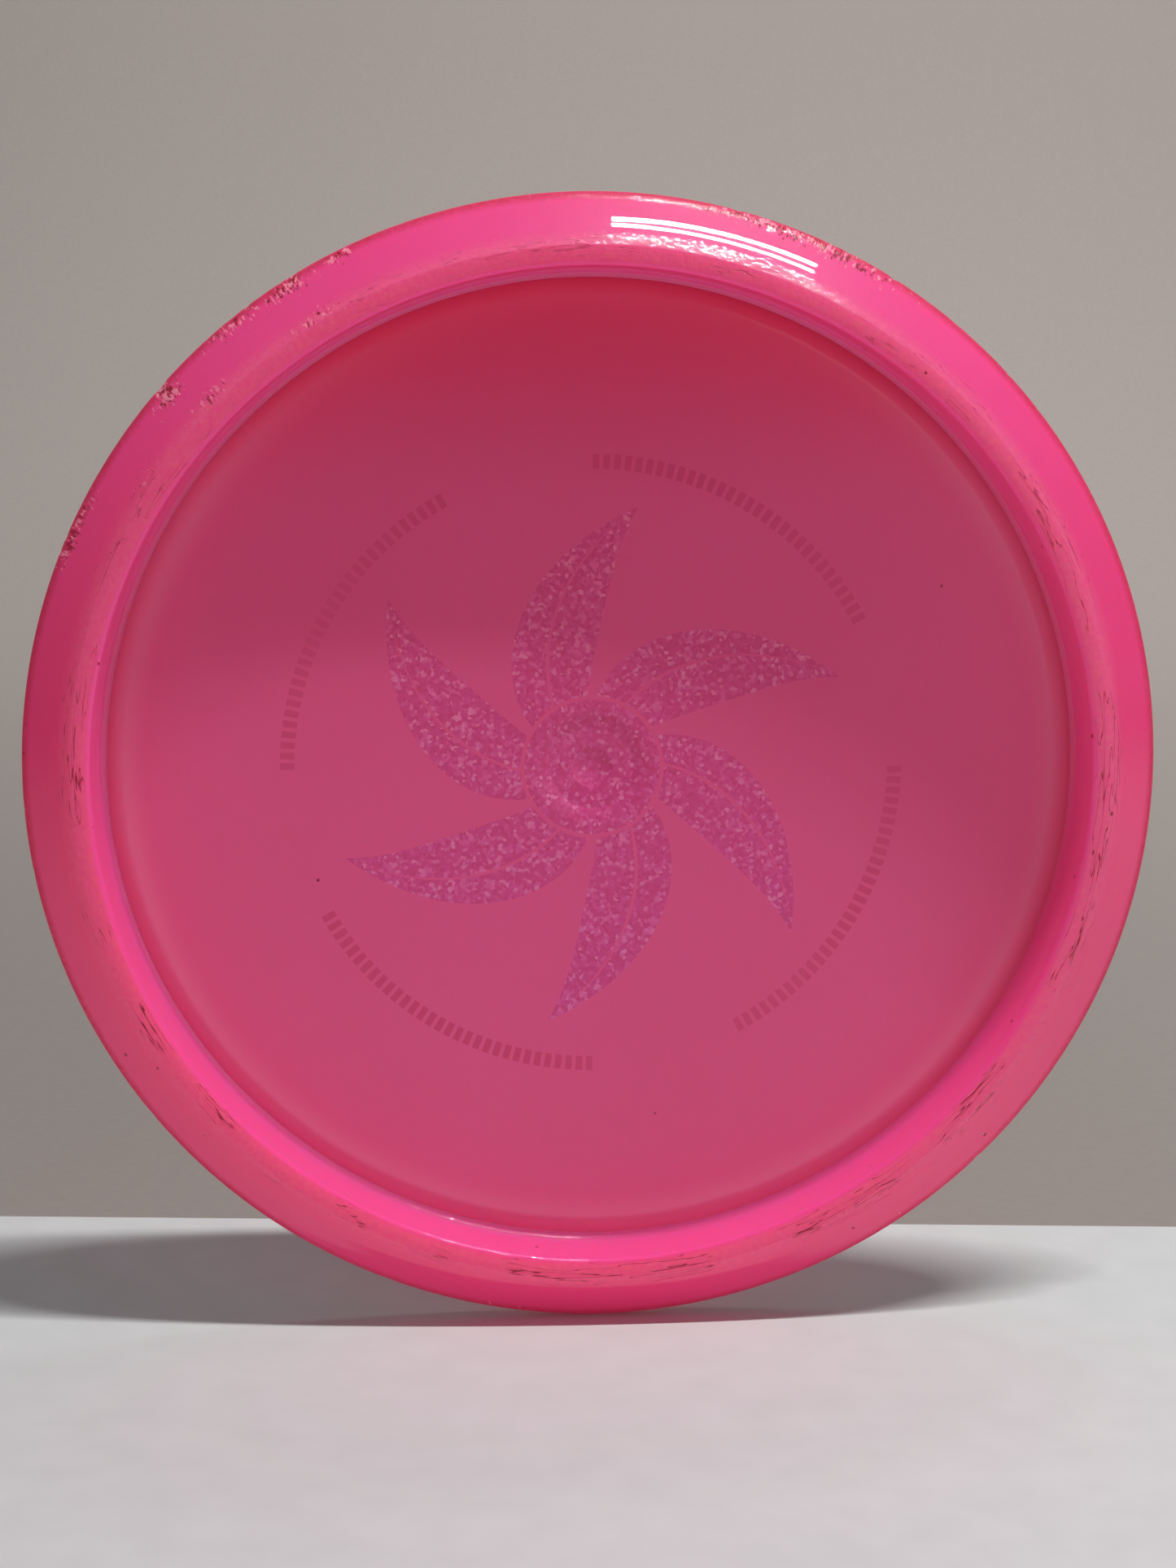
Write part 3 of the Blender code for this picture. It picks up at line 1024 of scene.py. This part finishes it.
film_strength.label = "Film shows weakly"
film_strength.operation = "MULTIPLY"
film_strength.inputs[1].default_value = 0.50
film_strength.location = (100, 650)
film_tint = nodes.new("ShaderNodeMix")
film_tint.label = "Glitter where the pinwheel is"
film_tint.data_type = "RGBA"
film_tint.location = (350, 850)
speck_tint = nodes.new("ShaderNodeMix")
speck_tint.label = "Dark specks"
speck_tint.data_type = "RGBA"
speck_tint.inputs["B"].default_value = (0.05, 0.006, 0.01, 1)
speck_tint.location = (600, 850)
# Painted light: a paler band on the plate beside the rim lifts the shade in the corner where the
# plate meets the rim's wall.
painted_light_zone = nodes.new("ShaderNodeMapRange")
painted_light_zone.label = "Close to the rim"
painted_light_zone.interpolation_type = "SMOOTHSTEP"
painted_light_zone.inputs["From Min"].default_value = plate_radius - 0.008
painted_light_zone.inputs["From Max"].default_value = plate_radius
painted_light_zone.location = (-400, 1350)
painted_edge_light = nodes.new("ShaderNodeMix")
painted_edge_light.label = "Paler beside the rim"
painted_edge_light.data_type = "RGBA"
painted_edge_light.inputs["B"].default_value = (0.80, 0.270, 0.460, 1)
painted_edge_light.location = (-150, 1200)
# Painted shadow: the plate is made a darker red toward the top edge, as under the rim's shadow.
painted_rim_shadow_zone = nodes.new("ShaderNodeMapRange")
painted_rim_shadow_zone.label = "Toward the top edge"
painted_rim_shadow_zone.interpolation_type = "SMOOTHSTEP"
painted_rim_shadow_zone.inputs["From Min"].default_value = 0.045
painted_rim_shadow_zone.inputs["From Max"].default_value = 0.090
painted_rim_shadow_zone.inputs["To Max"].default_value = 0.85
painted_rim_shadow_zone.location = (-150, 1400)
painted_rim_shadow = nodes.new("ShaderNodeMix")
painted_rim_shadow.label = "Redder toward the top edge"
painted_rim_shadow.data_type = "RGBA"
painted_rim_shadow.inputs["B"].default_value = (0.76, 0.065, 0.165, 1)
painted_rim_shadow.location = (50, 1200)
for node in (cloud, pinks, painted_light_zone, painted_edge_light, painted_rim_shadow_zone, painted_rim_shadow, specks, speck_dots,
             ring_tint, ring_fade, ring_strength, film_strength, film_tint, speck_tint):
    node.parent = colour_frame
links.new(place.outputs["Object"], cloud.inputs["Vector"])
links.new(place.outputs["Object"], specks.inputs["Vector"])
links.new(cloud.outputs["Fac"], pinks.inputs["Factor"])
links.new(specks.outputs["Distance"], speck_dots.inputs["Value"])
links.new(cloud.outputs["Fac"], ring_fade.inputs["Value"])
links.new(ring_mark.outputs[0], ring_strength.inputs[0])
links.new(ring_fade.outputs["Result"], ring_strength.inputs[1])
links.new(radius_here.outputs["Value"], painted_light_zone.inputs["Value"])
links.new(painted_light_zone.outputs["Result"], painted_edge_light.inputs["Factor"])
links.new(pinks.outputs["Result"], painted_edge_light.inputs["A"])
links.new(parts.outputs["Z"], painted_rim_shadow_zone.inputs["Value"])
links.new(painted_rim_shadow_zone.outputs["Result"], painted_rim_shadow.inputs["Factor"])
links.new(painted_edge_light.outputs["Result"], painted_rim_shadow.inputs["A"])
links.new(painted_rim_shadow.outputs["Result"], ring_tint.inputs["A"])
links.new(ring_strength.outputs[0], ring_tint.inputs["Factor"])
links.new(pinwheel_mark.outputs[0], film_strength.inputs[0])
links.new(ring_tint.outputs["Result"], film_tint.inputs["A"])
links.new(flake_tints_and_painted_light.outputs["Result"], film_tint.inputs["B"])
links.new(film_strength.outputs[0], film_tint.inputs["Factor"])
links.new(film_tint.outputs["Result"], speck_tint.inputs["A"])
links.new(speck_dots.outputs["Result"], speck_tint.inputs["Factor"])

surface_frame = nodes.new("NodeFrame")
surface_frame.label = "Hazy body under a gloss"
hazy = nodes.new("ShaderNodeBsdfPrincipled")
hazy.label = "Hazy pink urethane"
hazy.inputs["Roughness"].default_value = 0.5
hazy.inputs["IOR"].default_value = 1.45
hazy.inputs["Specular IOR Level"].default_value = 0.0
hazy.inputs["Subsurface Weight"].default_value = 1.0
hazy.inputs["Subsurface Radius"].default_value = (1.0, 0.15, 0.3)
hazy.inputs["Subsurface Scale"].default_value = 0.0003
# Painted glow: a faint red emission of the plate's own lifts its shaded parts towards red.
hazy.inputs["Emission Color"].default_value = (1.0, 0.03, 0.10, 1)
hazy.inputs["Emission Strength"].default_value = 0.13
hazy.location = (900, 450)
clear = nodes.new("ShaderNodeBsdfTransparent")
clear.label = "What shows through"
clear.inputs["Color"].default_value = (0.96, 0.42, 0.66, 1)
clear.location = (900, 80)
body = nodes.new("ShaderNodeMixShader")
body.label = "Hazy body"
body.inputs[0].default_value = 0.86
body.location = (1200, 300)
shine = nodes.new("ShaderNodeBsdfAnisotropic")
shine.label = "Gloss"
shine.inputs["Roughness"].default_value = 0.14
shine.location = (1200, 80)
edge_on = nodes.new("ShaderNodeFresnel")
edge_on.label = "More gloss at a slant"
edge_on.inputs["IOR"].default_value = 1.38
edge_on.location = (1200, 480)
skin = nodes.new("ShaderNodeMixShader")
skin.label = "Body and gloss"
skin.location = (1450, 300)
for node in (hazy, clear, body, shine, edge_on, skin):
    node.parent = surface_frame
output = nodes.new("ShaderNodeOutputMaterial")
output.location = (1700, 300)
links.new(speck_tint.outputs["Result"], hazy.inputs["Base Color"])
links.new(clear.outputs[0], body.inputs[1])
links.new(hazy.outputs[0], body.inputs[2])
links.new(edge_on.outputs[0], skin.inputs[0])
links.new(body.outputs[0], skin.inputs[1])
links.new(shine.outputs[0], skin.inputs[2])
links.new(skin.outputs[0], output.inputs["Surface"])

plate.data.materials.append(plate_plastic)
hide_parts("flight_plate")
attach(plate, "root")


# --- Stamp -----------------------------------------------------------------------------------
# Glitter film pressed hot on to the top of the plate: a pinwheel with split blades inside a
# broken ring of plain bars. It is a few thousandths of a millimetre thick and follows the dome.

film_thickness = 0.00006
film_lift = 0.00002


def film_point(radius, angle):
    """A point on the film's underside. Angles run from +X towards -Z, as seen from the top."""
    height = dome(radius, rim_depth + plate_thickness) + film_lift
    return (radius * math.cos(angle), rest_y + height, -radius * math.sin(angle))


def film_patch(mesh, place_at, along, across):
    """A grid of faces whose corners place_at gives for shares 0 to 1 along and across."""
    rows = []
    for i in range(along + 1):
        row = [mesh.verts.new(place_at(i / along, j / across)) for j in range(across + 1)]
        rows.append(row)
    for one, two in zip(rows, rows[1:]):
        for a, b, c, d in zip(one, one[1:], two[1:], two):
            mesh.faces.new((a, b, c, d))


def film_piece(name, mesh, node):
    """Gives the open patches their thickness, away from the plate, and stands them for a node."""
    bmesh.ops.remove_doubles(mesh, verts=mesh.verts, dist=1e-6)
    bmesh.ops.recalc_face_normals(mesh, faces=mesh.faces)
    turned = [face for face in mesh.faces if face.normal.y < 0]
    bmesh.ops.reverse_faces(mesh, faces=turned)
    data = bpy.data.meshes.new(name)
    mesh.to_mesh(data)
    mesh.free()
    piece = bpy.data.objects.new(name, data)
    bpy.context.scene.collection.objects.link(piece)
    shell = piece.modifiers.new("thickness", "SOLIDIFY")
    shell.thickness = film_thickness
    shell.offset = 1
    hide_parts(node)
    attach(piece, "root")
    return piece


def blade_half(start, low, high):
    """Places on one part of a blade, from hub to tip; low and high are shares of its width."""
    def place_at(along, across):
        radius = hub_radius + (tip_radius - hub_radius) * along
        width = blade_width * math.sin(math.pi * (blade_phase + (1 - blade_phase) * along))
        share = low + (high - low) * across
        return film_point(radius, start + blade_sweep * along + share * width / radius)
    return place_at


pinwheel_mesh = bmesh.new()
film_patch(
    pinwheel_mesh,
    lambda along, across: film_point((hub_radius - hub_gap) * max(along, 0.01), math.tau * across),
    6, 96,
)
for blade in range(blade_count):
    start = math.tau * blade / blade_count
    for low, high in ((-0.5, slit_middle - slit_half), (slit_middle + slit_half, 0.5)):
        film_patch(pinwheel_mesh, blade_half(start, low, high), 40, 6)
pinwheel = film_piece("stamp_pinwheel_film", pinwheel_mesh, "stamp_pinwheel")

ring_pieces = []
for number in range(4):
    bars = bmesh.new()
    start = math.tau * number / 4
    for bar in range(ring_bars):
        first = start + bar * bar_pitch
        film_patch(
            bars,
            lambda along, across, first=first: film_point(
                ring_inner + (ring_outer - ring_inner) * along, first + bar_width * across
            ),
            2, 2,
        )
    ring_pieces.append(film_piece(f"stamp_ring_film_{number + 1}", bars, f"stamp_arc_{number + 1}"))


def glitter_film(name, dark, bright, flake_size):
    """Metallised film with fine flakes that each lean their own way."""
    material = bpy.data.materials.new(name)
    material.use_nodes = True
    nodes = material.node_tree.nodes
    links = material.node_tree.links
    nodes.clear()
    flake_frame = nodes.new("NodeFrame")
    flake_frame.label = "Flakes"
    place = nodes.new("ShaderNodeTexCoord")
    place.label = "Place on the disc"
    place.location = (-1300, 200)
    flakes = nodes.new("ShaderNodeTexVoronoi")
    flakes.label = "One cell for each flake"
    flakes.inputs["Scale"].default_value = 1 / flake_size
    flakes.location = (-1050, 200)
    flake_parts = nodes.new("ShaderNodeSeparateColor")
    flake_parts.label = "A random value for each flake"
    flake_parts.location = (-800, 320)
    glints = nodes.new("ShaderNodeValToRGB")
    glints.label = "Few flakes are bright"
    glints.color_ramp.elements[0].position = 0.15
    glints.color_ramp.elements[0].color = (*dark, 1)
    glints.color_ramp.elements[1].position = 0.95
    glints.color_ramp.elements[1].color = (*bright, 1)
    glints.location = (-550, 320)
    lean = nodes.new("ShaderNodeVectorMath")
    lean.label = "Lean from -0.5 to 0.5"
    lean.operation = "SUBTRACT"
    lean.inputs[1].default_value = (0.5, 0.5, 0.5)
    lean.location = (-800, 0)
    lean_less = nodes.new("ShaderNodeVectorMath")
    lean_less.label = "How far the flakes lean"
    lean_less.operation = "SCALE"
    lean_less.inputs["Scale"].default_value = 1.1
    lean_less.location = (-600, 0)
    face_side = nodes.new("ShaderNodeNewGeometry")
    face_side.label = "Film's own direction"
    face_side.location = (-600, -160)
    leaning = nodes.new("ShaderNodeVectorMath")
    leaning.label = "Flake's direction"
    leaning.operation = "ADD"
    leaning.location = (-400, -40)
    unit = nodes.new("ShaderNodeVectorMath")
    unit.label = "Made one long"
    unit.operation = "NORMALIZE"
    unit.location = (-200, -40)
    for node in (place, flakes, flake_parts, glints, lean, lean_less, face_side, leaning, unit):
        node.parent = flake_frame
    film = nodes.new("ShaderNodeBsdfPrincipled")
    film.label = "Metallised film"
    film.inputs["Metallic"].default_value = 0.7
    film.inputs["Roughness"].default_value = 0.35
    film.location = (0, 250)
    output = nodes.new("ShaderNodeOutputMaterial")
    output.location = (450, 150)
    links.new(place.outputs["Object"], flakes.inputs["Vector"])
    links.new(flakes.outputs["Color"], flake_parts.inputs[0])
    links.new(flake_parts.outputs[0], glints.inputs["Fac"])
    links.new(flakes.outputs["Color"], lean.inputs[0])
    links.new(lean.outputs[0], lean_less.inputs[0])
    links.new(lean_less.outputs[0], leaning.inputs[0])
    links.new(face_side.outputs["Normal"], leaning.inputs[1])
    links.new(leaning.outputs[0], unit.inputs[0])
    links.new(glints.outputs["Color"], film.inputs["Base Color"])
    links.new(unit.outputs[0], film.inputs["Normal"])
    links.new(film.outputs[0], output.inputs["Surface"])
    return material


pinwheel.data.materials.append(
    glitter_film("pinwheel_film", (0.45, 0.14, 0.60), (1.0, 0.95, 1.0), 0.0008)
)
ring_film = glitter_film("ring_film", (0.20, 0.02, 0.08), (0.45, 0.12, 0.25), 0.0006)
for piece in ring_pieces:
    piece.data.materials.append(ring_film)


# --- Stage -----------------------------------------------------------------------------------
# A white sheet under the disc, and a warm grey paper that rises far behind it, with painted shade
# that darkens it near the middle. A narrow softbox hangs overhead to the right, a dim card stands
# in front to the right, one light is for the grey paper, and the surroundings are pale.


def stage_paper(name, colour, grain, painted_shade_tone):
    """Plain matt paper with a trace of tone; the last argument is how pale painted shade leaves it
    beside the disc.
    """
    material = bpy.data.materials.new(name)
    material.use_nodes = True
    nodes = material.node_tree.nodes
    links = material.node_tree.links
    nodes.clear()
    place = nodes.new("ShaderNodeTexCoord")
    place.label = "Place on the paper"
    place.location = (-800, 0)
    fibre = nodes.new("ShaderNodeTexNoise")
    fibre.label = "Paper fibre"
    fibre.inputs["Scale"].default_value = 1 / grain
    fibre.inputs["Detail"].default_value = 4
    fibre.location = (-600, 0)
    tone = nodes.new("ShaderNodeMix")
    tone.label = "Trace of tone"
    tone.data_type = "RGBA"
    tone.inputs["A"].default_value = (*(c * 0.93 for c in colour), 1)
    tone.inputs["B"].default_value = (*(c * 1.05 for c in colour), 1)
    tone.location = (-300, 0)
    away = nodes.new("ShaderNodeVectorMath")
    away.label = "Distance from the disc"
    away.operation = "LENGTH"
    away.location = (-600, -300)
    # Painted shade: the paper is darkened near the disc and fades to its own tone 1.5 m away.
    painted_shade_fade = nodes.new("ShaderNodeMapRange")
    painted_shade_fade.label = "Paler farther away"
    painted_shade_fade.interpolation_type = "SMOOTHSTEP"
    painted_shade_fade.inputs["From Min"].default_value = 0.1
    painted_shade_fade.inputs["From Max"].default_value = 1.5
    painted_shade_fade.inputs["To Min"].default_value = painted_shade_tone
    painted_shade_fade.location = (-400, -300)
    painted_shade = nodes.new("ShaderNodeMix")
    painted_shade.label = "Graded paper"
    painted_shade.data_type = "RGBA"
    painted_shade.inputs["A"].default_value = (0, 0, 0, 1)
    painted_shade.location = (-100, -100)
    paper = nodes.new("ShaderNodeBsdfPrincipled")
    paper.label = "Paper"
    paper.inputs["Roughness"].default_value = 0.7
    paper.inputs["Specular IOR Level"].default_value = 0.2
    paper.location = (0, 0)
    output = nodes.new("ShaderNodeOutputMaterial")
    output.location = (300, 0)
    links.new(place.outputs["Object"], fibre.inputs["Vector"])
    links.new(fibre.outputs["Fac"], tone.inputs["Factor"])
    links.new(place.outputs["Object"], away.inputs[0])
    links.new(away.outputs["Value"], painted_shade_fade.inputs["Value"])
    links.new(tone.outputs["Result"], painted_shade.inputs["B"])
    links.new(painted_shade_fade.outputs["Result"], painted_shade.inputs["Factor"])
    links.new(painted_shade.outputs["Result"], paper.inputs["Base Color"])
    links.new(paper.outputs[0], output.inputs["Surface"])
    return material


def stage_sheet(name, line, reach, material):
    """A sheet that follows a line of (y, z) points and reaches this far to each side."""
    mesh = bmesh.new()
    rows = [[mesh.verts.new((x, y, z)) for x in (-reach, reach)] for y, z in line]
    for (a, b), (c, d) in zip(rows, rows[1:]):
        mesh.faces.new((a, b, d, c))
    data = bpy.data.meshes.new(name)
    mesh.to_mesh(data)
    mesh.free()
    data.shade_smooth()
    sheet = bpy.data.objects.new(name, data)
    sheet.data.materials.append(material)
    bpy.context.scene.collection.objects.link(sheet)
    sheet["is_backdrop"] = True
    return sheet


def stage_light(name, place, aim, width, height, power, colour):
    """A soft rectangular light that points at aim and can't be seen itself."""
    lamp_data = bpy.data.lights.new(name, "AREA")
    lamp_data.shape = "RECTANGLE"
    lamp_data.size = width
    lamp_data.size_y = height
    lamp_data.energy = power
    lamp_data.color = colour
    lamp = bpy.data.objects.new(name, lamp_data)
    lamp.location = place
    lamp.rotation_euler = (Vector(aim) - Vector(place)).to_track_quat("-Z", "Y").to_euler()
    lamp.visible_camera = False
    bpy.context.scene.collection.objects.link(lamp)


floor_z = cad_low.z
sheet_back = 0.0534
sheet_turn = math.radians(-4.2)
sweep_radius = 0.5
sweep_start = 1.0
sweep_steps = 16
paper_drop = 0.0002
stage_reach = 3.0
white_paper = stage_paper("white_paper", (0.70, 0.73, 0.74), 0.010, 1.0)
white_sheet = stage_sheet("white_sheet", [(-stage_reach, 0), (0, 0)], stage_reach, white_paper)
white_sheet.location = (0, sheet_back, floor_z)
white_sheet.rotation_euler.z = sheet_turn
# The grey paper has painted shade near the disc; the white sheet has none.
grey_paper = stage_paper("grey_paper", (0.79, 0.72, 0.68), 0.0026, 0.42)
sweep = [(-stage_reach, floor_z - paper_drop), (sweep_start, floor_z - paper_drop)]
for i in range(1, sweep_steps + 1):
    angle = math.radians(90 * i / sweep_steps)
    sweep.append((
        sweep_start + sweep_radius * math.sin(angle),
        floor_z - paper_drop + sweep_radius * (1 - math.cos(angle)),
    ))
sweep.append((sweep_start + sweep_radius, 2.5))
stage_sheet("grey_backdrop", sweep, stage_reach, grey_paper)

stage_light(
    "softbox", (0.355, -0.225, 1.13), (0.355, 0.065, 0.05), 0.53, 0.03, 12, (1.0, 0.98, 0.96)
)
stage_light("card", (0.60, -1.30, 0.10), (0, 0, 0), 0.8, 0.9, 1.8, (1.0, 0.98, 0.98))
stage_light("backdrop_light", (0.4, 0.6, 1.7), (0.2, 1.6, 0.3), 1.0, 0.3, 3.5, (1.0, 0.98, 0.96))

surroundings = bpy.data.worlds.new("surroundings")
surroundings.use_nodes = True
surroundings.node_tree.nodes["Background"].inputs["Color"].default_value = (0.95, 0.96, 1.0, 1)
surroundings.node_tree.nodes["Background"].inputs["Strength"].default_value = 0.13
bpy.context.scene.world = surroundings
bpy.context.scene.view_settings.view_transform = "Standard"

camera_data = bpy.data.cameras.new("camera")
camera_data.lens = 52.3
camera = bpy.data.objects.new("camera", camera_data)
camera.location = (-0.0213, -0.4327, 0.0614)
looking = Vector((0.0461, 0.9882, -0.1457))
camera.rotation_euler = looking.to_track_quat("-Z", "Y").to_euler()
bpy.context.scene.collection.objects.link(camera)
bpy.context.scene.camera = camera

low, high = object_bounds()
